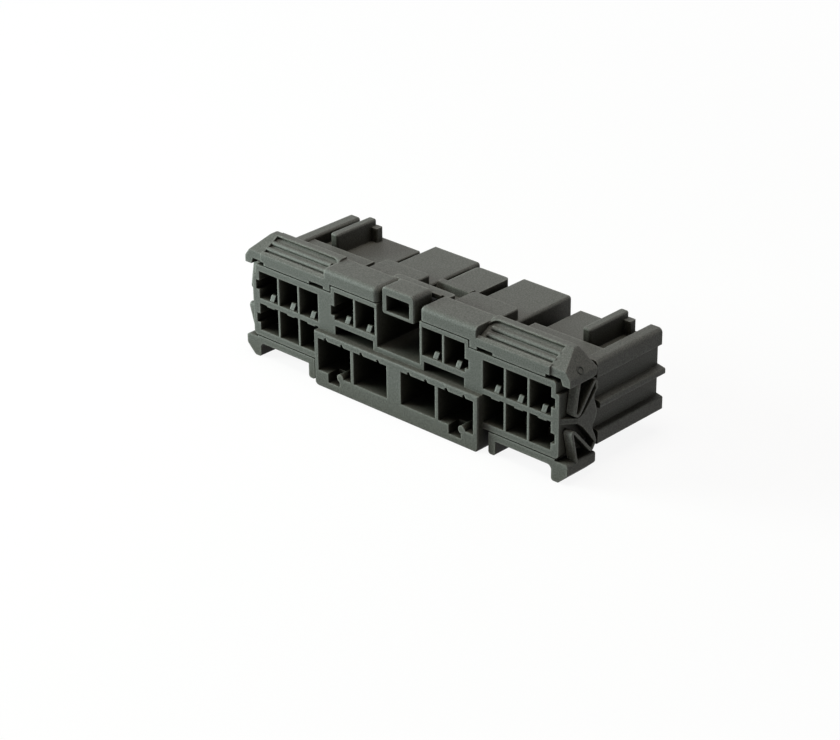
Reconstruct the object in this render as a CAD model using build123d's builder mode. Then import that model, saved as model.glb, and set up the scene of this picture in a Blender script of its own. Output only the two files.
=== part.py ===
"""Twenty-way hybrid connector housing with a latch and two-stage terminal retainers.

Sizes are in millimetres. x runs along the connector, y from the wire face towards the mating
face, and z up from the plane that the connector stands on. The origin is the middle of the
footprint, on that plane. Depths are measured from the wire face towards the mating face.
"""
import os

from build123d import *

# Terminal cavities
small_pitch = 3.0
small_web = 0.28
small_height = 3.1
large_pitch = 5.1
large_web = 0.42
large_height = 3.66
row_pitch = 3.68
centre_rise = 1.0
outer_columns = 3
centre_columns = 2
large_columns = 2
cavity_depth = 7.9
chamber_inset = 0.3
chamber_height = 2.2
large_chamber_height = 2.9
small_tab_hole = (1.5, 0.9)
large_tab_hole = (2.8, 1.2)

# First cavities of the centre and large groups, out from the middle
centre_start = 3.26
large_start = 0.98

# Floors and tops, up from the standing plane
large_floor = 1.85
lower_floor = 3.2
block_top = 6.2
shelf_top = 6.75
outer_roof = 0.72
centre_roof = 0.5
group_floor_wall = 0.7
rear_bottom = 1.9

# Walls beside the cavities
bay_half = 2.95
centre_side_wall = 0.47
block_side_wall = 0.6
end_wall = 0.55
end_wall_step = 0.45
end_step_below_top = 1.25

# Depths from the wire face
overall_depth = 16.25
block_proud = 0.75
end_setback = 0.5
seat_depth = 4.65
mating_wall = 1.2
anchor_depth = 1.5

# Top of the housing behind the retainer
platform_top = 10.0
deck_top = 11.05
deck_depth = 8.1
strip_top = 12.05
strip_depth = 8.05
strip_end_gap = 0.35
rear_block_top = 10.9
side_slot_width = 1.6
side_slot_floor = 7.2
side_slot_start = 3.6
anchor_top = 9.4

# Dark slots under the centre cavities
under_slot_start = 3.5
under_slot_width = 5.4
under_slot_height = 1.0
under_slot_depth = 12.0

# Guide rails outside the end walls and on the top corners
rail_start = 5.0
rail_overrun = 0.1
rail_flank_angle = 78
mid_rail_proud = 0.95
mid_rail_bottom = 6.1
mid_rail_height = 1.4
low_rail_proud = 0.72
low_rail_bottom = 2.2
low_rail_height = 2.0
top_rail_inset = 1.15
top_rail_proud = 0.5
top_rail_top = 11.35
top_rail_bottom = 9.6

# Upright keys on the platforms
upright_key_x = 17.32
upright_key_start = 8.4
upright_key_length = 6.05
upright_key_width = 1.05
upright_key_top = 12.3
key_foot = (1.0, 0.9)
key_foot_top = 11.6

# Key lugs, notches and knobs in the cavities
key_lug_width = 0.6
key_lug_height = 0.65
key_lug_length = 1.15
key_lug_lean = 0.35
key_lug_place = 0.1
bar_swell = (1.1, 0.14)
side_notch_reach = 0.5
side_notch_height = 1.05
side_notch_depth = 6.0
upper_notch_rise = 1.5
lower_notch_rise = 1.35
centre_notch_rise = 0.95
lip_nick = (0.35, 0.6)
lip_nick_place = 0.25
lip_nick_tilt = 35
lip_nick_depth = 1.2
knob_radius = 0.45
knob_place = 0.67
knob_length = 1.6
recess_place = 0.475
recess_share = 0.35
recess_drop = 0.95
lance_length = 1.1
lance_height = 1.3

# Retainers
retainer_gap = 0.12
retainer_depth = 3.4
shoulder_gap = 0.15
hook_width = 0.8
centre_block_top = 13.15
centre_block_proud = 0.95
block_front_round = 0.55
block_corner_round = 0.5
grip_front_top = 12.15
grip_top = 13.35
grip_lip = 0.3
grip_rear_lip = 0.8
hollow_depth = 0.3
hollow_round = 1.0
rib_radius = 0.27
rib_setback = 0.65
rib_shares = (1 / 3, 2 / 3)
bridge_half = 3.9
bridge_rear = 4.35
bridge_front = 3.15
bridge_thickness = 0.5
edge_gap_height = 0.32
edge_gap_depth = 1.4
inner_edge_gap = (10.55, 12.6)
tooth = (1.7, 0.8)
tooth_reach = 0.9
tooth_clearance = 0.12
tooth_depth = 2.7
tooth_root = 0.3

# Wings over the ends, and the feet of the lower retainers
wing_rear = 4.4
wing_waist = 11.2
wing_bottom = 10.45
foot_width = 0.9
foot_bar = 1.6
foot_rear = 4.35
foot_shoulder = 2.2
block_gap = 0.74

# Latch arm
arm_half = 2.2
arm_gap = 0.1
arm_root_seat = 0.4
arm_top = 11.05
lip_front = 7.9
lip_top = 11.55
lip_rear = 9.3
neck_half = 1.8
neck_top = 12.2
neck_rear = 4.7
neck_slope = 2.0
tab_half = 2.2
tab_depth = 2.65
tab_bottom = 10.8
tab_top = 13.75
window = (3.14, 1.74)
window_rise = 0.37
window_depth = 2.1

# End straps
strap_gap = 0.12
strap_width = 1.05
strap_thickness = 0.3
fold_radius = 0.2
rib_height = 0.6
rib_bottom = 6.25
rib_crest_start = 1.45
rib_crest_end = 2.4
rib_root_end = 1.5

# Edge softness
edge_break = 0.1
edge_round = 0.15
soft_round = 0.3
corner_round = 0.5

# Sketch corners this near to a named place are the corner meant
corner_tolerance = 0.001

# Derived
block_y = -overall_depth / 2
wire_y = block_y + block_proud
body_depth = overall_depth - block_proud
small_width = small_pitch - small_web
large_width = large_pitch - large_web
upper_floor = lower_floor + row_pitch
centre_floor = upper_floor + centre_rise
group_top = upper_floor + small_height + outer_roof
group_bottom = lower_floor - group_floor_wall
centre_top = centre_floor + small_height + centre_roof
block_half = large_start + large_columns * large_pitch - large_web + block_side_wall
outer_start = block_half
group_half = outer_start + outer_columns * small_pitch - small_web
upper_half = group_half + end_wall
end_half = upper_half + end_wall_step
centre_half = centre_start + centre_columns * small_pitch - small_web + centre_side_wall
slot_half = centre_half + side_slot_width
strap_inner = end_half + strap_gap
strap_outer = strap_inner + strap_width
retainer_seat = group_top + retainer_gap
block_seat = centre_top + retainer_gap
grip_start = centre_half + centre_block_proud
grip_end = group_half - small_web
rail_end = body_depth - end_setback + rail_overrun
key_foot_start = upright_key_start + upright_key_length - key_foot[1]
arm_root = body_depth - anchor_depth + arm_root_seat
lower_retainer_top = group_bottom - retainer_gap


def columns(start, pitch, width, count):
    """Middles of a row of cavities on both sides of the connector."""
    right = [start + width / 2 + i * pitch for i in range(count)]
    return [-x for x in reversed(right)] + right


outer_x = columns(outer_start, small_pitch, small_width, outer_columns)
centre_x = columns(centre_start, small_pitch, small_width, centre_columns)
large_x = columns(large_start, large_pitch, large_width, large_columns)
upper_cavities = [(x, upper_floor) for x in outer_x]
lower_cavities = [(x, lower_floor) for x in outer_x]
centre_cavities = [(x, centre_floor) for x in centre_x]
small_cavities = upper_cavities + lower_cavities + centre_cavities


def facing(depth):
    """The plane parallel to the wire face, this far behind it; its sketches read x, z."""
    return Plane.XZ.offset(-(wire_y + depth))


def across(x):
    """The plane square to the connector's length at x; its sketches read y, z."""
    return Plane.YZ.offset(x)


def behind(*points):
    """Side profile points given as (depth behind the wire face, height)."""
    return [(wire_y + depth, z) for depth, z in points]


def corners(u, v):
    """Corners of the sketch at these coordinates, on both sides of the middle."""
    level = vertices().filter_by(lambda c: abs(c.Y - v) < corner_tolerance)
    return level.filter_by(lambda c: abs(abs(c.X) - u) < corner_tolerance)


def step(start, reach, finish):
    """The point that lies this far from start on the way to finish."""
    return tuple(Vector(*start) + (Vector(*finish) - Vector(*start)).normalized() * reach)[:2]


# Folded straps: each runs down its retainer's leg, turns back, and folds over onto the fin of the
# housing. The corner points are where the straight runs would meet.
upper_leg_root = (1.6, 10.7)
upper_leg_turn = (0.78, 5.97)
upper_fin_turn = (4.03, 10.2)
upper_fin_end = (4.2, 9.05)
upper_turn_radius = 0.4
lower_leg_root = (1.4, 2.0)
lower_leg_turn = (0.5, 5.98)
lower_fin_turn = (3.55, 2.55)
lower_fin_end = (4.1, 3.35)
fin_outer_edge = ((4.35, 9.05), (3.8, 8.3), (4.17, 6.95), (4.1, 6.05), (3.63, 5.18), (3.9, 4.3), (4.25, 3.3))
fin_inner_edge = (
    (3.95, 3.4), (3.1, 4.51), (2.2, 5.6), (1.45, 6.25), (1.45, 6.75), (2.3, 7.1), (3.2, 8.05), (4.03, 9.05)
)
upper_leg_reach = 1.75
upper_fin_reach = 0.6
lower_leg_reach = 0.95
lower_fin_reach = 0.5
upper_strap_start = step(upper_leg_turn, upper_leg_reach, upper_fin_turn)
upper_strap_end = step(upper_fin_turn, upper_fin_reach, upper_leg_turn)
lower_strap_start = step(lower_leg_turn, lower_leg_reach, lower_fin_turn)
lower_strap_end = step(lower_fin_turn, lower_fin_reach, lower_leg_turn)


def make_housing():
    """Body with the terminal cavities, the latch bay, the rails and keys, and a fin on each end."""
    with BuildPart() as housing:
        # Lower block that holds the large cavities
        with BuildSketch(facing(-block_proud)):
            with Locations((0, block_top / 2)):
                Rectangle(2 * block_half, block_top)
            fillet(corners(block_half, 0), corner_round)
        extrude(amount=-overall_depth)
        chamfer(faces().sort_by(Axis.Y)[0].edges(), edge_break)

        # Upper body under the retainer
        with BuildSketch(facing(0)):
            with BuildLine():
                Polyline(
                    (0, group_bottom),
                    (end_half, group_bottom),
                    (end_half, group_top - end_step_below_top),
                    (upper_half, group_top - end_step_below_top),
                    (upper_half, group_top),
                    (centre_half, group_top),
                    (centre_half, centre_top),
                    (bay_half, centre_top),
                    (bay_half, shelf_top),
                    (0, shelf_top),
                )
                mirror(about=Plane.YZ)
            make_face()
            fillet(corners(end_half, group_bottom), corner_round)
            fillet(corners(end_half, group_top - end_step_below_top), edge_round)
            fillet(corners(upper_half, group_top), soft_round)
            fillet(corners(centre_half, centre_top), edge_round)
        extrude(amount=-seat_depth)

        # Body behind the retainer, open along the latch bay and the two side slots
        with BuildSketch(facing(seat_depth)):
            with BuildLine():
                Polyline(
                    (0, rear_bottom),
                    (end_half, rear_bottom),
                    (end_half, platform_top),
                    (slot_half, platform_top),
                    (slot_half, side_slot_floor),
                    (centre_half, side_slot_floor),
                    (centre_half, rear_block_top),
                    (bay_half, rear_block_top),
                    (bay_half, shelf_top),
                    (0, shelf_top),
                )
                mirror(about=Plane.YZ)
            make_face()
            fillet(corners(end_half, rear_bottom), soft_round)
            fillet(corners(slot_half, platform_top), edge_round)
            fillet(corners(centre_half, rear_block_top), soft_round)
            fillet(corners(bay_half, rear_block_top), soft_round)
        extrude(amount=-(body_depth - end_setback - seat_depth))

        # Middle of the body runs on to the mating face
        with BuildSketch(facing(body_depth - end_setback)):
            with BuildLine():
                Polyline(
                    (0, large_floor),
                    (block_half, large_floor),
                    (block_half, side_slot_floor),
                    (centre_half, side_slot_floor),
                    (centre_half, rear_block_top),
                    (bay_half, rear_block_top),
                    (bay_half, shelf_top),
                    (0, shelf_top),
                )
                mirror(about=Plane.YZ)
            make_face()
            fillet(corners(centre_half, rear_block_top), soft_round)
            fillet(corners(bay_half, rear_block_top), soft_round)
        extrude(amount=-end_setback)

        # Raised roof of the centre cavities and the strips behind it
        roof_middle = (bay_half + centre_half - strip_end_gap) / 2
        roof_width = centre_half - strip_end_gap - bay_half
        for side in (-1, 1):
            with BuildSketch(Plane.XY.offset(rear_block_top - corner_round)):
                with Locations((side * roof_middle, wire_y + (seat_depth + strip_depth) / 2)):
                    Rectangle(roof_width, strip_depth - seat_depth)
                    fillet(vertices().group_by(Axis.Y)[-1], corner_round)
            extrude(amount=strip_top - rear_block_top + corner_round)
            strip_edges = edges(Select.LAST).group_by(Axis.Z)[-1]
            chamfer(strip_edges.filter_by(lambda e: e.center().Y > wire_y + seat_depth), edge_break)

        # Side decks behind the retainer
        with BuildSketch(Plane.XY.offset(platform_top)):
            for side in (-1, 1):
                with Locations((side * (slot_half + end_half) / 2, wire_y + (seat_depth + deck_depth) / 2)):
                    Rectangle(end_half - slot_half, deck_depth - seat_depth)
        extrude(amount=deck_top - platform_top)

        # Side slots carry on under the retainer
        side_slot_y = wire_y + (side_slot_start + seat_depth) / 2
        with BuildSketch(Plane.XY.offset(side_slot_floor)):
            for side in (-1, 1):
                with Locations((side * (centre_half + slot_half) / 2, side_slot_y)):
                    Rectangle(side_slot_width, seat_depth - side_slot_start)
        extrude(amount=centre_top, mode=Mode.SUBTRACT)

        # Anchor of the latch arm at the mating end
        with BuildSketch(facing(body_depth - anchor_depth)):
            with Locations((0, (shelf_top + anchor_top) / 2)):
                Rectangle(2 * bay_half, anchor_top - shelf_top)
        extrude(amount=-anchor_depth)

        # Slots between the block and the centre cavities
        under_slot_z = block_top + under_slot_height / 2
        with BuildSketch(facing(0)):
            for side in (-1, 1):
                with Locations((side * (under_slot_start + under_slot_width / 2), under_slot_z)):
                    Rectangle(under_slot_width, under_slot_height)
        extrude(amount=-under_slot_depth, mode=Mode.SUBTRACT)

        # Guide rails along both ends and on the top corners
        for side in (-1, 1):
            with BuildSketch(facing(rail_start)):
                with Locations((side * end_half, mid_rail_bottom + mid_rail_height / 2)):
                    Trapezoid(mid_rail_height, 2 * mid_rail_proud, rail_flank_angle, rotation=side * -90)
                with Locations((side * end_half, low_rail_bottom + low_rail_height / 2)):
                    Trapezoid(low_rail_height, 2 * low_rail_proud, rail_flank_angle, rotation=side * -90)
                rail_outer = end_half + top_rail_proud
                with Locations((
                    side * (rail_outer - top_rail_inset / 2 - top_rail_proud / 2),
                    (top_rail_bottom + top_rail_top) / 2,
                )):
                    Rectangle(top_rail_inset + top_rail_proud, top_rail_top - top_rail_bottom)
                fillet(corners(rail_outer, top_rail_top), corner_round)
                fillet(corners(end_half - top_rail_inset, top_rail_top), soft_round)
                flank_corners = vertices().filter_by(lambda c: abs(c.X) > end_half + soft_round)
                fillet(flank_corners.filter_by(lambda c: c.Y < top_rail_bottom - edge_round), edge_round)
            extrude(amount=-(rail_end - rail_start))
            rail_edges = edges(Select.LAST).group_by(Axis.Y)[-1]
            chamfer(rail_edges.filter_by(lambda e: e.center().Z > platform_top), edge_break)

        # Upright keys on the platforms, each with a low foot at its mating end
        for side in (-1, 1):
            with BuildSketch(Plane.XY.offset(platform_top - edge_round)):
                with Locations((side * upright_key_x, wire_y + upright_key_start + upright_key_length / 2)):
                    RectangleRounded(upright_key_width, upright_key_length, soft_round)
            extrude(amount=upright_key_top - platform_top + edge_round)
            fillet(edges(Select.LAST).group_by(Axis.Z)[-1], soft_round - edge_round / 2)
            foot_x = side * upright_key_x + upright_key_width / 2 + key_foot[0] / 2 - edge_round
            with BuildSketch(Plane.XY.offset(platform_top - edge_round)):
                with Locations((foot_x, wire_y + key_foot_start + key_foot[1] / 2)):
                    RectangleRounded(*key_foot, edge_round)
            extrude(amount=key_foot_top - platform_top + edge_round)

        # Fin on each end: the folds of both straps run into it, and a rib carries it
        for side in (-1, 1):
            with BuildSketch(across(side * strap_inner)):
                with BuildLine():
                    Spline(*behind(*fin_outer_edge))
                    Polyline(*behind(fin_outer_edge[-1], *fin_inner_edge, fin_outer_edge[0]))
                make_face()
                with BuildLine():
                    FilletPolyline(
                        *behind(upper_strap_end, upper_fin_turn, upper_fin_end), radius=fold_radius
                    )
                trace(line_width=strap_thickness)
                with BuildLine():
                    FilletPolyline(
                        *behind(lower_strap_end, lower_fin_turn, lower_fin_end), radius=fold_radius
                    )
                trace(line_width=strap_thickness)
            extrude(amount=side * strap_width)
            with BuildSketch(Plane.XY.offset(rib_bottom)):
                with BuildLine():
                    Polyline(
                        (side * (end_half - strap_gap), wire_y + edge_round),
                        (side * end_half, wire_y + edge_round),
                        (side * strap_outer, wire_y + rib_crest_start),
                        (side * strap_outer, wire_y + rib_crest_end),
                        (side * strap_inner, wire_y + rib_crest_end),
                        (side * (end_half - strap_gap), wire_y + rib_root_end),
                        close=True,
                    )
                make_face()
            extrude(amount=rib_height)

        # Terminal cavities, the narrower chambers behind them and the mating holes
        with BuildSketch(facing(-block_proud)):
            with Locations(*[(x, large_floor + large_height / 2) for x in large_x]):
                Rectangle(large_width, large_height)
        extrude(amount=-(block_proud + cavity_depth), mode=Mode.SUBTRACT)
        with BuildSketch(facing(0)):
            with Locations(*[(x, z + small_height / 2) for x, z in small_cavities]):
                Rectangle(small_width, small_height)
        extrude(amount=-cavity_depth, mode=Mode.SUBTRACT)
        chamber_length = body_depth - end_setback - mating_wall - cavity_depth
        with BuildSketch(facing(cavity_depth)):
            with Locations(*[(x, large_floor + large_chamber_height / 2) for x in large_x]):
                Rectangle(large_width - 2 * chamber_inset, large_chamber_height)
            with Locations(*[(x, z + chamber_height / 2) for x, z in small_cavities]):
                Rectangle(small_width - 2 * chamber_inset, chamber_height)
        extrude(amount=-chamber_length, mode=Mode.SUBTRACT)
        with BuildSketch(facing(cavity_depth + chamber_length)):
            with Locations(*[(x, large_floor + large_chamber_height / 2) for x in large_x]):
                Rectangle(*large_tab_hole)
            with Locations(*[(x, z + chamber_height / 2) for x, z in small_cavities]):
                Rectangle(*small_tab_hole)
        extrude(amount=-(mating_wall + end_setback), mode=Mode.SUBTRACT)

        # Slots for the teeth of the retainers, through the roofs and the lower floors
        slot = (tooth[0] + 2 * tooth_clearance, tooth[1] + 2 * tooth_clearance)
        with BuildSketch(Plane.XY.offset(upper_floor + small_height - tooth_clearance)):
            with Locations(*[(x, wire_y + tooth_depth) for x in outer_x]):
                Rectangle(*slot)
        extrude(amount=outer_roof + 2 * tooth_clearance, mode=Mode.SUBTRACT)
        with BuildSketch(Plane.XY.offset(centre_floor + small_height - tooth_clearance)):
            with Locations(*[(x, wire_y + tooth_depth) for x in centre_x]):
                Rectangle(*slot)
        extrude(amount=centre_roof + 2 * tooth_clearance, mode=Mode.SUBTRACT)
        with BuildSketch(Plane.XY.offset(lower_floor + tooth_clearance)):
            with Locations(*[(x, wire_y + tooth_depth) for x in outer_x]):
                Rectangle(*slot)
        extrude(amount=-(group_floor_wall + 2 * tooth_clearance), mode=Mode.SUBTRACT)

        # Side notches of the outermost cavities
        with BuildSketch(facing(0)):
            for side in (-1, 1):
                with Locations(
                    (side * group_half, upper_floor + upper_notch_rise),
                    (side * group_half, lower_floor + lower_notch_rise),
                    (side * (centre_half - centre_side_wall), centre_floor + centre_notch_rise),
                ):
                    Rectangle(2 * side_notch_reach, side_notch_height)
        extrude(amount=-side_notch_depth, mode=Mode.SUBTRACT)

        # Nicks in the upper lip of the large cavities
        nick_x = [x + hand * lip_nick_place * large_width for x in large_x for hand in (-1, 1)]
        with BuildSketch(facing(-block_proud)):
            with Locations(*[(x, large_floor + large_height) for x in nick_x]):
                Rectangle(*lip_nick, rotation=lip_nick_tilt)
        extrude(amount=-lip_nick_depth, mode=Mode.SUBTRACT)

        # Floor recess beside a round knob in the outermost large cavities
        for x in (large_x[0], large_x[-1]):
            left = x - large_width / 2
            with BuildSketch(facing(-block_proud)):
                with Locations((left + recess_place * large_width, large_floor - recess_drop / 2)):
                    Rectangle(recess_share * large_width, recess_drop + edge_round)
            extrude(amount=-knob_length, mode=Mode.SUBTRACT)
            with BuildSketch(facing(-block_proud)):
                with Locations((left + knob_place * large_width, large_floor)):
                    Circle(knob_radius)
            extrude(amount=-knob_length)

        # Lance shoulders under the roofs of the large cavities
        for x in large_x:
            with BuildSketch(across(x + large_width / 2)):
                Polygon(
                    *behind(
                        (cavity_depth, large_floor + large_height),
                        (cavity_depth - lance_length, large_floor + large_height),
                        (cavity_depth, large_floor + large_height - lance_height),
                    ),
                    align=None,
                )
            extrude(amount=-(large_width / 2 + chamber_inset))

        # Key lugs on the floors of the upper and centre cavities, with a swelling of the bar under them
        for x, z in upper_cavities + centre_cavities:
            with BuildSketch(across(x + key_lug_place * small_width - key_lug_width / 2)):
                with BuildLine():
                    Polyline(
                        *behind(
                            (edge_round, z - edge_round),
                            (edge_round, z),
                            (edge_round + key_lug_lean, z + key_lug_height),
                            (key_lug_length - key_lug_lean, z + key_lug_height),
                            (key_lug_length, z - edge_round),
                        ),
                        close=True,
                    )
                make_face()
                fillet(vertices().group_by(Axis.Y)[-1], edge_round)
            extrude(amount=key_lug_width)
        swell_z = upper_floor - row_pitch + small_height
        with BuildSketch(facing(0)):
            with Locations(*[(x + key_lug_place * small_width, swell_z) for x in outer_x]):
                Rectangle(bar_swell[0], 2 * bar_swell[1])
        extrude(amount=-key_lug_length)
    housing.part.label = "housing"
    return housing.part


def make_latch_arm():
    """Latch arm: anchored behind, with a raised lip, a neck under the bridge and a thumb tab."""
    with BuildPart() as latch_arm:
        # Arm from its root near the mating face to the raised lip
        with BuildSketch(across(-arm_half)):
            Polygon(
                *behind(
                    (arm_root, anchor_top + arm_gap),
                    (arm_root, arm_top),
                    (lip_rear, arm_top),
                    (lip_rear - soft_round, lip_top),
                    (lip_front + soft_round, lip_top),
                    (lip_front, arm_top - soft_round),
                    (lip_front, anchor_top + arm_gap + soft_round),
                ),
                align=None,
            )
            fillet(vertices().group_by(Axis.Y)[-1], edge_round)
        extrude(amount=2 * arm_half)
        fillet(edges().filter_by(Axis.Z).group_by(Axis.Y)[-1], corner_round)
        # Neck that passes under the bridge and carries the thumb tab
        with BuildSketch(across(-neck_half)):
            Polygon(
                *behind(
                    (lip_front + edge_round, anchor_top + arm_gap + soft_round),
                    (lip_front + edge_round, arm_top - soft_round),
                    (neck_rear + neck_slope, arm_top - edge_round),
                    (neck_rear, neck_top),
                    (tab_depth - edge_round, neck_top),
                    (tab_depth - edge_round, tab_bottom + edge_round),
                    (neck_rear, tab_bottom + edge_round),
                ),
                align=None,
            )
        extrude(amount=2 * neck_half)
        # Thumb tab with its window
        with BuildSketch(facing(0)):
            with Locations((0, (tab_bottom + tab_top) / 2)):
                Rectangle(2 * tab_half, tab_top - tab_bottom)
            fillet(vertices().group_by(Axis.Y)[-1], corner_round)
            fillet(vertices().group_by(Axis.Y)[0], soft_round)
        extrude(amount=-tab_depth)
        chamfer(faces().sort_by(Axis.Y)[0].edges(), edge_break)
        with BuildSketch(facing(0)):
            with Locations((0, tab_bottom + window_rise + window[1] / 2)):
                Rectangle(*window)
        extrude(amount=-window_depth, mode=Mode.SUBTRACT)
    latch_arm.part.label = "latch_arm"
    return latch_arm.part


def make_wing(side):
    """Slanted wing of the upper retainer, cut to its outline from the side and from the front."""
    with BuildPart() as wing:
        with BuildSketch(across(side * (grip_end - edge_round))):
            Polygon(
                *behind(
                    (edge_round, wing_bottom),
                    (edge_round, grip_front_top - edge_round),
                    (grip_lip + edge_round, grip_front_top),
                    (retainer_depth - grip_rear_lip, grip_top),
                    (retainer_depth, grip_top),
                    (wing_rear, wing_waist),
                    (wing_rear - edge_round, wing_bottom + edge_round),
                    (retainer_depth, wing_bottom),
                ),
                align=None,
            )
            fillet(vertices().group_by(Axis.X)[-1], soft_round)
        extrude(amount=side * (strap_outer - grip_end + edge_round))
        with BuildSketch(facing(0)):
            Polygon(
                (side * (grip_end - edge_round), retainer_seat + edge_gap_height),
                (side * (grip_end - edge_round), grip_top),
                (side * upper_half, grip_top),
                (side * strap_outer, wing_waist),
                (side * strap_outer, wing_bottom),
                (side * (strap_inner + edge_round), wing_bottom),
                (side * end_half, retainer_seat + edge_gap_height),
                align=None,
            )
            fillet(corners(strap_outer, wing_waist), corner_round)
            fillet(corners(upper_half, grip_top), soft_round)
        extrude(amount=-wing_rear, mode=Mode.INTERSECT)
        outer_edges = edges().filter_by(lambda e: abs(e.center().X) > upper_half + edge_round)
        high_edges = outer_edges.filter_by(lambda e: e.center().Z > wing_waist - edge_round)
        rear_y = wire_y + retainer_depth - corner_round
        fillet(high_edges.filter_by(lambda e: e.center().Y > rear_y), soft_round)
    return wing.part


def make_upper_retainer(side, name):
    """One half of the upper retainer; the bridge joins the two halves behind the latch tab."""
    wing = make_wing(side)
    with BuildPart() as upper_retainer:
        # Block over the centre cavities
        with BuildSketch(Plane.XY.offset(block_seat)):
            with Locations((side * (bay_half + grip_start) / 2, wire_y + retainer_depth / 2)):
                Rectangle(grip_start - bay_half, retainer_depth)
            fillet(vertices().group_by(Axis.Y)[0].sort_by(lambda c: abs(c.X))[0], block_corner_round)
        extrude(amount=centre_block_top - block_seat)
        top_edges = edges(Select.LAST).group_by(Axis.Z)[-1]
        front_edges = top_edges.filter_by(lambda e: e.center().Y < wire_y + retainer_depth / 2)
        block_end = grip_start - edge_round
        fillet(front_edges.filter_by(lambda e: abs(e.center().X) < block_end), block_front_round)

        # Hook that hangs over the shoulder of the centre group
        hook_top = block_seat + edge_round
        hook_x = side * (centre_half + shoulder_gap + hook_width / 2)
        with BuildSketch(facing(0)):
            with Locations((hook_x, (retainer_seat + hook_top) / 2)):
                Rectangle(hook_width, hook_top - retainer_seat)
        extrude(amount=-retainer_depth)

        # Grip with its slanted front, hollowed between two lips
        with BuildSketch(across(side * grip_start)):
            Polygon(
                *behind(
                    (0, retainer_seat),
                    (0, grip_front_top - edge_round),
                    (grip_lip, grip_front_top),
                    (retainer_depth - grip_rear_lip, grip_top),
                    (retainer_depth, grip_top),
                    (retainer_depth, retainer_seat),
                ),
                align=None,
            )
        extrude(amount=side * (grip_end - grip_start))
        slant = Vector(0, retainer_depth - grip_rear_lip - grip_lip, grip_top - grip_front_top)
        grip_face = Plane(
            origin=(side * (grip_start + grip_end) / 2, wire_y + grip_lip, grip_front_top),
            x_dir=(1, 0, 0),
            z_dir=Vector(1, 0, 0).cross(slant),
        )
        with BuildSketch(grip_face):
            with Locations((0, slant.length / 2)):
                Rectangle(grip_end - grip_start, slant.length - 2 * edge_round)
            fillet(vertices().group_by(Axis.Y)[-1].sort_by(lambda c: side * c.X)[0], hollow_round)
        extrude(amount=-hollow_depth, mode=Mode.SUBTRACT)
        with BuildSketch(across(side * (grip_start + rib_setback))):
            for share in rib_shares:
                rib_depth = grip_lip + share * slant.Y
                with Locations(*behind((rib_depth, grip_front_top + share * slant.Z - hollow_depth))):
                    Circle(rib_radius)
        extrude(amount=side * (grip_end - grip_start - rib_setback))

        # Dark gaps along the lower front edge
        with BuildSketch(facing(0)):
            for start, finish in (inner_edge_gap, (grip_end - corner_round, end_half)):
                with Locations((side * (start + finish) / 2, retainer_seat + edge_gap_height / 2)):
                    Rectangle(finish - start, edge_gap_height)
        extrude(amount=-edge_gap_depth, mode=Mode.SUBTRACT)

        # Wing over the end of the housing, and the strap leg that hangs from it
        add(wing)
        with BuildSketch(across(side * strap_inner)):
            with BuildLine():
                FilletPolyline(
                    *behind(upper_leg_root, upper_leg_turn, upper_strap_start), radius=upper_turn_radius
                )
            trace(line_width=strap_thickness)
        extrude(amount=side * strap_width)

        # Teeth that drop behind the terminals
        with BuildSketch(Plane.XY.offset(upper_floor + small_height - tooth_reach)):
            with Locations(*[(x, wire_y + tooth_depth) for x in outer_x if x * side > 0]):
                Rectangle(*tooth)
        extrude(amount=tooth_reach + outer_roof + retainer_gap + tooth_root)
        with BuildSketch(Plane.XY.offset(centre_floor + small_height - tooth_reach)):
            with Locations(*[(x, wire_y + tooth_depth) for x in centre_x if x * side > 0]):
                Rectangle(*tooth)
        extrude(amount=tooth_reach + centre_roof + retainer_gap + tooth_root)
    upper_retainer.part.label = name
    return upper_retainer.part


def make_bridge():
    """Bar between the two halves of the upper retainer."""
    with BuildPart() as bridge:
        # It spans the latch arm and butts against the backs of the two blocks
        with BuildSketch(Plane.XY.offset(centre_block_top - bridge_thickness)):
            with Locations((0, wire_y + (retainer_depth + bridge_rear) / 2)):
                Rectangle(2 * bridge_half, bridge_rear - retainer_depth)
            fillet(vertices().group_by(Axis.Y)[-1], soft_round)
            with Locations((0, wire_y + (bridge_front + retainer_depth) / 2)):
                Rectangle(2 * bay_half, retainer_depth - bridge_front)
        extrude(amount=bridge_thickness)
    bridge.part.label = "retainer_bridge"
    return bridge.part


def make_lower_retainer(side, name):
    """Bar under one outer group of cavities, with two feet, a strap leg and teeth."""
    inner = block_half + block_gap
    with BuildPart() as lower_retainer:
        # Bar under the cavities with a foot at each end, the outer one leaning out
        with BuildSketch(facing(0)):
            Polygon(
                (side * inner, lower_retainer_top),
                (side * upper_half, lower_retainer_top),
                (side * upper_half, foot_shoulder),
                (side * strap_outer, foot_shoulder),
                (side * strap_outer, foot_bar - corner_round),
                (side * end_half, 0),
                (side * (end_half - foot_width), 0),
                (side * (end_half - foot_width), foot_bar),
                (side * (inner + foot_width), foot_bar),
                (side * (inner + foot_width), 0),
                (side * inner, 0),
                align=None,
            )
            fillet(vertices().group_by(Axis.Y)[0], soft_round)
            fillet(vertices().sort_by(lambda c: side * c.X)[-2:], soft_round)
            fillet(corners(end_half - foot_width, foot_bar), corner_round)
        extrude(amount=-foot_rear)
        rear_edges = edges().filter_by(Axis.X).group_by(Axis.Y)[-1]
        fillet(rear_edges.filter_by(lambda e: abs(e.center().X) > upper_half), soft_round)
        with BuildSketch(across(side * strap_inner)):
            with BuildLine():
                FilletPolyline(*behind(lower_leg_root, lower_leg_turn, lower_strap_start), radius=fold_radius)
            trace(line_width=strap_thickness)
        extrude(amount=side * strap_width)
        with BuildSketch(Plane.XY.offset(lower_retainer_top - tooth_root)):
            with Locations(*[(x, wire_y + tooth_depth) for x in outer_x if x * side > 0]):
                Rectangle(*tooth)
        extrude(amount=tooth_root + retainer_gap + group_floor_wall + tooth_reach)
    lower_retainer.part.label = name
    return lower_retainer.part


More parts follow.
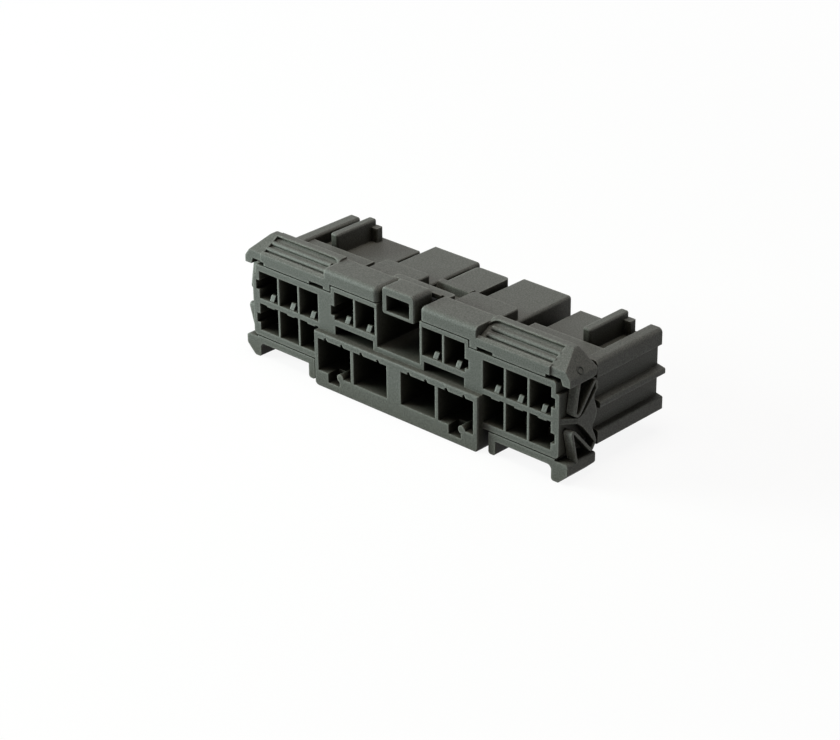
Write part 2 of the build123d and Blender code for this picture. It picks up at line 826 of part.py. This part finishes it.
def make_strap(side, name, start, finish):
    """Straight run of a folded strap, between its leg on the retainer and its fold on the fin."""
    with BuildPart() as strap:
        with BuildSketch(across(side * strap_inner)):
            with BuildLine():
                Line(*behind(start, finish))
            trace(line_width=strap_thickness)
        extrude(amount=side * strap_width)
    strap.part.label = name
    return strap.part


parts = [
    make_housing(),
    make_latch_arm(),
    make_upper_retainer(-1, "upper_retainer_left"),
    make_upper_retainer(1, "upper_retainer_right"),
    make_bridge(),
    make_lower_retainer(-1, "lower_retainer_left"),
    make_lower_retainer(1, "lower_retainer_right"),
    make_strap(-1, "upper_strap_left", upper_strap_start, upper_strap_end),
    make_strap(1, "upper_strap_right", upper_strap_start, upper_strap_end),
    make_strap(-1, "lower_strap_left", lower_strap_start, lower_strap_end),
    make_strap(1, "lower_strap_right", lower_strap_start, lower_strap_end),
]

os.makedirs("parts", exist_ok=True)
for piece in parts:
    export_step(piece, f"parts/{piece.label}.step")
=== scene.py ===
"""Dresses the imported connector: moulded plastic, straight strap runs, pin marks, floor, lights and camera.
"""
import math

import bmesh
import bpy
from mathutils import Matrix, Vector


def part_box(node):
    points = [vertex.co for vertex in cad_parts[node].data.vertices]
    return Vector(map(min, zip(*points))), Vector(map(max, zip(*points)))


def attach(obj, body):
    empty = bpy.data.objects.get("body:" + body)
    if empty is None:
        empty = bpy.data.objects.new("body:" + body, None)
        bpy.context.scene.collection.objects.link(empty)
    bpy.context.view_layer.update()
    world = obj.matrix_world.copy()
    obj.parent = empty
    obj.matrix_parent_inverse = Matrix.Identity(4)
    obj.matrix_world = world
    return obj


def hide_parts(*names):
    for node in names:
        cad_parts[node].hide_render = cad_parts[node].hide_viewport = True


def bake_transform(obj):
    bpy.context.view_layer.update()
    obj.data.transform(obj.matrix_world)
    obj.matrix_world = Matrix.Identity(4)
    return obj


MM = 0.001

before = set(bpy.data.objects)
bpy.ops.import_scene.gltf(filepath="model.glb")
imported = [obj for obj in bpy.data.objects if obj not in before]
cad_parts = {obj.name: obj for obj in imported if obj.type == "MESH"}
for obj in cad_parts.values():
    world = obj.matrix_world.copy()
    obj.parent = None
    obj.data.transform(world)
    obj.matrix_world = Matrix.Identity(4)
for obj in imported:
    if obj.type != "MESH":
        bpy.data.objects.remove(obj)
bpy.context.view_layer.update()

# Camera, solved from the photograph's parallel edges
AZIMUTH = math.radians(43.356)
ELEVATION = math.radians(26.3915)
ROLL = math.radians(-0.547)
DISTANCE = 252.26 * MM
TARGET = Vector((2.956, -7.375, 6.1)) * MM
FOCAL_PIXELS = 2531.47
IMAGE_WIDTH = 840
SENSOR = 36.0
CLIP = (0.01, 10)

# Straight runs of the end straps, from the housing's fin to the retainer's leg, as (depth, height)
WIRE_FACE = -7.375
STRAP_THICKNESS = 0.3
STRAP_RUNS = {
    "upper": ((3.664, 9.724), (1.846, 7.358)),
    "lower": ((3.218, 2.924), (1.131, 5.270)),
}
STRAP_ROWS = 14

# Ejector-pin mark on each slanted wing face: its middle as (reach, depth, height), and how its ring is drawn
MARK_PLACE = (21.95, 1.99, 11.67)
WING_SLOPE = (2.15, 1.62)
MARK_RADIUS = 0.36
MARK_LINE = 0.08
MARK_RISE = 0.03
MARK_TURNS = 40
MARK_SIDES = 8

# Plastic: the two tones of its mottle and where the pattern takes them, and its sheen
PLASTIC_TONES = ((0.07, 0.072, 0.066), (0.128, 0.13, 0.12))
# The pin mark's ring is in darker tones: painted shade for the fine step that the pin leaves
MARK_SHADE_TONES = ((0.025, 0.026, 0.024), (0.04, 0.042, 0.038))
TONE_STOPS = (0.4, 0.6)
SPECULAR_LEVEL = 0.16
ROUGHNESS = (0.46, 0.62)

# Patterns in the plastic, as (specks in a metre, detail, roughness), and the grain's bump
MOTTLE = (6500.0, 4.0, 0.8)
SHEEN = (900.0, 3.0, 0.5)
GRAIN = (12000.0, 2.0, 0.5)
GRAIN_STRENGTH = 0.3
GRAIN_HEIGHT = 0.01

# Edges and recesses: how far each effect reaches, in millimetres, and how strong it is; the outward edges
# get a painted highlight and the recesses painted shade
EDGE_RADIUS = 0.16
# Painted highlight on the outward edges: how far it reaches, and how much lighter it makes them
EDGE_HIGHLIGHT_REACH = 0.34
EDGE_HIGHLIGHT_RANGE = (0.45, 0.9)
EDGE_HIGHLIGHT_GAIN = 1.75
PAINTED_SHADE_REACH = 9.0
# Painted shade by how much sky a point sees: near black deep in the recesses, a painted olive-brown glow of
# bounced light at their mouths, the plain colour in the open
PAINTED_SHADE_TINTS = ((0.28, (0.045, 0.045, 0.035)), (0.45, (0.68, 0.62, 0.48)), (0.56, (1, 1, 1)))
RAY_SAMPLES = 6

# Places of the two colours and of the result on a colour mixing node
FIRST_COLOUR = 6
SECOND_COLOUR = 7
MIXED_COLOUR = 2

# Floor and sky: the shadow fades out between these distances from the middle, in metres
FLOOR_HALF = 0.6
FLOOR_ROUGHNESS = 0.9
FLOOR_LIT = 0.4
FLOOR_SEEN = 0.95
FLOOR_WHITE_SHARE = 0.9
SHADOW_FADE = (0.05, 0.2)
SKY_STRENGTH = 0.03

# Softboxes: name, watts, width of the disc, bearing and height in degrees, colour
LIGHT_DISTANCE = 0.35
SOFTBOXES = (
    ("front_softbox", 2.35, 0.2, -60, 12, (0.85, 1.0, 0.94)),
    ("top_softbox", 0.82, 0.22, -10, 86, (1.0, 0.955, 0.9)),
)


def make_camera():
    """The photograph's own view of the part."""
    back = Vector((
        math.sin(AZIMUTH) * math.cos(ELEVATION),
        -math.cos(AZIMUTH) * math.cos(ELEVATION),
        math.sin(ELEVATION),
    ))
    level_right = Vector((math.cos(AZIMUTH), math.sin(AZIMUTH), 0))
    level_up = back.cross(level_right)
    right = math.cos(ROLL) * level_right + math.sin(ROLL) * level_up
    up = math.cos(ROLL) * level_up - math.sin(ROLL) * level_right
    data = bpy.data.cameras.new("camera")
    data.sensor_width = SENSOR
    data.lens = FOCAL_PIXELS / IMAGE_WIDTH * SENSOR
    data.clip_start, data.clip_end = CLIP
    camera = bpy.data.objects.new("camera", data)
    turn = Matrix((right, up, back)).transposed().to_4x4()
    camera.matrix_world = Matrix.Translation(TARGET + DISTANCE * back) @ turn
    bpy.context.collection.objects.link(camera)
    bpy.context.scene.camera = camera


def node(tree, kind, **values):
    """A shader node whose inputs and settings are given by name."""
    made = tree.nodes.new(kind)
    for name, value in values.items():
        if name in made.inputs:
            made.inputs[name].default_value = value
        else:
            setattr(made, name, value)
    return made


def noise(tree, place, scale, detail, roughness):
    """A fine pattern fixed to the part, from 0 to 1."""
    made = node(tree, "ShaderNodeTexNoise", Scale=scale, Detail=detail, Roughness=roughness)
    tree.links.new(place, made.inputs["Vector"])
    return made.outputs["Fac"]


def ramp(tree, value, stops):
    """Colours between the (position, colour) stops."""
    made = node(tree, "ShaderNodeValToRGB")
    elements = made.color_ramp.elements
    elements[0].position, elements[1].position = stops[0][0], stops[-1][0]
    elements[0].color, elements[1].color = (*stops[0][1], 1), (*stops[-1][1], 1)
    for position, colour in stops[1:-1]:
        elements.new(position).color = (*colour, 1)
    tree.links.new(value, made.inputs["Fac"])
    return made.outputs["Color"]


def remap(tree, value, old, new):
    """A value's old range stretched to the new one."""
    made = node(tree, "ShaderNodeMapRange")
    for name, number in zip(("From Min", "From Max", "To Min", "To Max"), (*old, *new)):
        made.inputs[name].default_value = number
    tree.links.new(value, made.inputs["Value"])
    return made.outputs["Result"]


def tinted(tree, colour, factor):
    """A colour multiplied by a factor or by another colour."""
    made = node(tree, "ShaderNodeMix", data_type="RGBA", blend_type="MULTIPLY", Factor=1.0)
    tree.links.new(colour, made.inputs[FIRST_COLOUR])
    tree.links.new(factor, made.inputs[SECOND_COLOUR])
    return made.outputs[MIXED_COLOUR]


def arithmetic(tree, operation, a, b):
    made = node(tree, "ShaderNodeMath", operation=operation)
    tree.links.new(a, made.inputs[0])
    tree.links.new(b, made.inputs[1])
    return made.outputs["Value"]


def painted_recess_shade(tree):
    """Painted shade: darkens the plastic's colour where little sky is seen, through a painted olive-brown
    glow of bounced light at the mouths of the cavities, to near black deep inside.
    """
    recess = node(tree, "ShaderNodeAmbientOcclusion", Distance=PAINTED_SHADE_REACH * MM, samples=RAY_SAMPLES)
    return ramp(tree, recess.outputs["AO"], PAINTED_SHADE_TINTS)


def painted_edge_highlight(tree):
    """Painted highlight: lightens the colour of the outward edges, as if their rounding caught the light."""
    edge = node(
        tree, "ShaderNodeAmbientOcclusion", Distance=EDGE_HIGHLIGHT_REACH * MM, samples=RAY_SAMPLES, inside=True
    )
    return remap(tree, edge.outputs["AO"], EDGE_HIGHLIGHT_RANGE, (EDGE_HIGHLIGHT_GAIN, 1.0))


def grained_normal(tree, place):
    """A spark-eroded grain over edges that are softly rounded."""
    soft_edge = node(tree, "ShaderNodeBevel", Radius=EDGE_RADIUS * MM, samples=RAY_SAMPLES)
    bump = node(tree, "ShaderNodeBump", Strength=GRAIN_STRENGTH, Distance=GRAIN_HEIGHT * MM)
    tree.links.new(noise(tree, place, *GRAIN), bump.inputs["Height"])
    tree.links.new(soft_edge.outputs["Normal"], bump.inputs["Normal"])
    return bump.outputs["Normal"]


def moulded_plastic(name, tones):
    """Greenish-grey plastic: a fine mottle, a sheen that varies, painted shade in the recesses and painted
    highlights on the outward edges.
    """
    material = bpy.data.materials.new(name)
    material.use_nodes = True
    tree = material.node_tree
    shader = tree.nodes["Principled BSDF"]
    shader.inputs["Specular IOR Level"].default_value = SPECULAR_LEVEL
    place = node(tree, "ShaderNodeTexCoord").outputs["Object"]
    mottle = ramp(tree, noise(tree, place, *MOTTLE), list(zip(TONE_STOPS, tones)))
    # The mottle times painted shade in the recesses and a painted highlight on the outward edges
    colour = tinted(tree, tinted(tree, mottle, painted_recess_shade(tree)), painted_edge_highlight(tree))
    sheen = remap(tree, noise(tree, place, *SHEEN), (0.0, 1.0), ROUGHNESS)
    tree.links.new(colour, shader.inputs["Base Color"])
    tree.links.new(sheen, shader.inputs["Roughness"])
    tree.links.new(grained_normal(tree, place), shader.inputs["Normal"])
    return material


def dress(obj, material):
    obj.data.materials.clear()
    obj.data.materials.append(material)


def mesh_object(name, mesh_data, smooth):
    """A new object in the scene, with its faces turned outwards."""
    bmesh.ops.recalc_face_normals(mesh_data, faces=mesh_data.faces)
    mesh = bpy.data.meshes.new(name)
    mesh_data.to_mesh(mesh)
    mesh_data.free()
    for polygon in mesh.polygons:
        polygon.use_smooth = smooth
    made = bpy.data.objects.new(name, mesh)
    bpy.context.collection.objects.link(made)
    return made


def strap_point(end):
    """A (depth, height) of a strap as a point in the middle plane of the part."""
    depth, height = end
    return Vector((0, WIRE_FACE + depth, height)) * MM


def strap_run(name, start, finish, inner, outer):
    """A strap's straight run from one end to the other, in rows along its length."""
    across = Vector((1, 0, 0)).cross(finish - start).normalized() * STRAP_THICKNESS * MM / 2
    near = Vector((inner, 0, 0))
    far = Vector((outer, 0, 0))
    band = bmesh.new()
    rows = []
    for i in range(STRAP_ROWS + 1):
        middle = start.lerp(finish, i / STRAP_ROWS)
        corners = ((near, across), (far, across), (far, -across), (near, -across))
        rows.append([band.verts.new(middle + x + offset) for x, offset in corners])
    for a, b in zip(rows, rows[1:]):
        for i in range(4):
            band.faces.new((a[i], a[(i + 1) % 4], b[(i + 1) % 4], b[i]))
    band.faces.new(rows[0])
    band.faces.new(rows[-1][::-1])
    return mesh_object(name, band, smooth=False)


def make_strap(level, hand, material):
    """Stands for a CAD strap, between the housing's fin and the leg of its retainer."""
    solid = f"{level}_strap_{hand}"
    low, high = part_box(solid)
    inner, outer = sorted((low[0], high[0]), key=abs)
    start, finish = map(strap_point, STRAP_RUNS[level])
    strap = strap_run(f"{level}_run_{hand}", start, finish, inner, outer)
    dress(strap, material)
    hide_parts(solid)
    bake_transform(strap)


def pin_mark(name, side):
    """The round witness mark of an ejector pin, a shallow ring that lies in the slanted face."""
    slope = Vector((side * WING_SLOPE[0], 0, WING_SLOPE[1])).normalized()
    middle = Vector((side * MARK_PLACE[0], WIRE_FACE + MARK_PLACE[1], MARK_PLACE[2])) * MM
    along = Vector((0, 1, 0))
    down = slope.cross(along)
    ring = bmesh.new()
    loops = []
    for i in range(MARK_TURNS):
        angle = math.tau * i / MARK_TURNS
        outward = math.cos(angle) * along + math.sin(angle) * down
        loop = []
        for k in range(MARK_SIDES):
            tilt = math.tau * k / MARK_SIDES
            reach = (MARK_RADIUS + MARK_LINE * math.cos(tilt)) * MM
            rise = MARK_RISE * math.sin(tilt) * MM
            loop.append(ring.verts.new(middle + reach * outward + rise * slope))
        loops.append(loop)
    for a, b in zip(loops, loops[1:] + loops[:1]):
        for k in range(MARK_SIDES):
            ring.faces.new((a[k], a[(k + 1) % MARK_SIDES], b[(k + 1) % MARK_SIDES], b[k]))
    return mesh_object(name, ring, smooth=True)


def make_pin_mark(hand, side, material):
    """Puts a pin mark on one wing, where it moves with the upper retainer."""
    mark = pin_mark(f"pin_mark_{hand}", side)
    dress(mark, material)
    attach(mark, "upper_retainer")


def softbox(name, power, width, azimuth, elevation, colour):
    """A round lamp that faces the part."""
    data = bpy.data.lights.new(name, "AREA")
    data.shape = "DISK"
    data.size = width
    data.energy = power
    data.color = colour
    lamp = bpy.data.objects.new(name, data)
    a, e = math.radians(azimuth), math.radians(elevation)
    bearing = Vector((math.sin(a) * math.cos(e), -math.cos(a) * math.cos(e), math.sin(e)))
    lamp.location = LIGHT_DISTANCE * bearing
    lamp.rotation_mode = "QUATERNION"
    lamp.rotation_quaternion = bearing.to_track_quat("Z", "Y")
    bpy.context.collection.objects.link(lamp)


def seen_rays(tree):
    """1 where the camera, a reflection or a see-through ray meets the surface, 0 where light falls on it."""
    rays = node(tree, "ShaderNodeLightPath").outputs
    seen = arithmetic(tree, "MAXIMUM", rays["Is Camera Ray"], rays["Is Transmission Ray"])
    return arithmetic(tree, "MAXIMUM", seen, rays["Is Glossy Ray"])


def part_white(tree, plain, kind, share):
    """Mixes plain white into a shader, by this share."""
    white = node(tree, kind, Color=(1, 1, 1, 1), Strength=1.0)
    mix = node(tree, "ShaderNodeMixShader")
    tree.links.new(share, mix.inputs["Fac"])
    tree.links.new(plain.outputs[0], mix.inputs[1])
    tree.links.new(white.outputs[0], mix.inputs[2])
    return mix.outputs["Shader"]


def make_sky():
    """White where it is seen, and dim where it lights the part."""
    world = bpy.data.worlds.new("studio")
    bpy.context.scene.world = world
    world.use_nodes = True
    tree = world.node_tree
    plain = tree.nodes["Background"]
    plain.inputs["Color"].default_value = (1, 1, 1, 1)
    plain.inputs["Strength"].default_value = SKY_STRENGTH
    shown = part_white(tree, plain, "ShaderNodeBackground", seen_rays(tree))
    tree.links.new(shown, tree.nodes["World Output"].inputs["Surface"])


def floor_paper():
    """White paper that keeps a faint shadow, and is paler where it is seen than where it lights the part."""
    material = bpy.data.materials.new("floor_paper")
    material.use_nodes = True
    tree = material.node_tree
    shader = tree.nodes["Principled BSDF"]
    shader.inputs["Roughness"].default_value = FLOOR_ROUGHNESS
    seen = seen_rays(tree)
    paper = node(tree, "ShaderNodeMix", data_type="RGBA")
    paper.inputs[FIRST_COLOUR].default_value = (FLOOR_LIT, FLOOR_LIT, FLOOR_LIT, 1)
    paper.inputs[SECOND_COLOUR].default_value = (FLOOR_SEEN, FLOOR_SEEN, FLOOR_SEEN, 1)
    tree.links.new(seen, paper.inputs["Factor"])
    tree.links.new(paper.outputs[MIXED_COLOUR], shader.inputs["Base Color"])
    distance = node(tree, "ShaderNodeVectorMath", operation="LENGTH")
    tree.links.new(node(tree, "ShaderNodeNewGeometry").outputs["Position"], distance.inputs[0])
    share = remap(tree, distance.outputs["Value"], SHADOW_FADE, (FLOOR_WHITE_SHARE, 1.0))
    shown = part_white(tree, shader, "ShaderNodeEmission", arithmetic(tree, "MULTIPLY", seen, share))
    tree.links.new(shown, tree.nodes["Material Output"].inputs["Surface"])
    return material


def make_floor():
    """A wide sheet of paper under the part."""
    outline = [(x * FLOOR_HALF, y * FLOOR_HALF, 0) for x, y in ((-1, -1), (1, -1), (1, 1), (-1, 1))]
    mesh = bpy.data.meshes.new("floor")
    mesh.from_pydata(outline, [], [(0, 1, 2, 3)])
    mesh.materials.append(floor_paper())
    floor = bpy.data.objects.new("floor", mesh)
    bpy.context.collection.objects.link(floor)


make_camera()
make_sky()
make_floor()
for lamp in SOFTBOXES:
    softbox(*lamp)

plastic = moulded_plastic("moulded_plastic", PLASTIC_TONES)
# The pin marks get the darker tones, painted shade for their fine rings
mark_shade_plastic = moulded_plastic("pin_mark_shade_plastic", MARK_SHADE_TONES)
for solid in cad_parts.values():
    dress(solid, plastic)
for side, hand in ((-1, "left"), (1, "right")):
    for level in STRAP_RUNS:
        make_strap(level, hand, plastic)
    make_pin_mark(hand, side, mark_shade_plastic)

bpy.context.scene.view_settings.view_transform = "Standard"
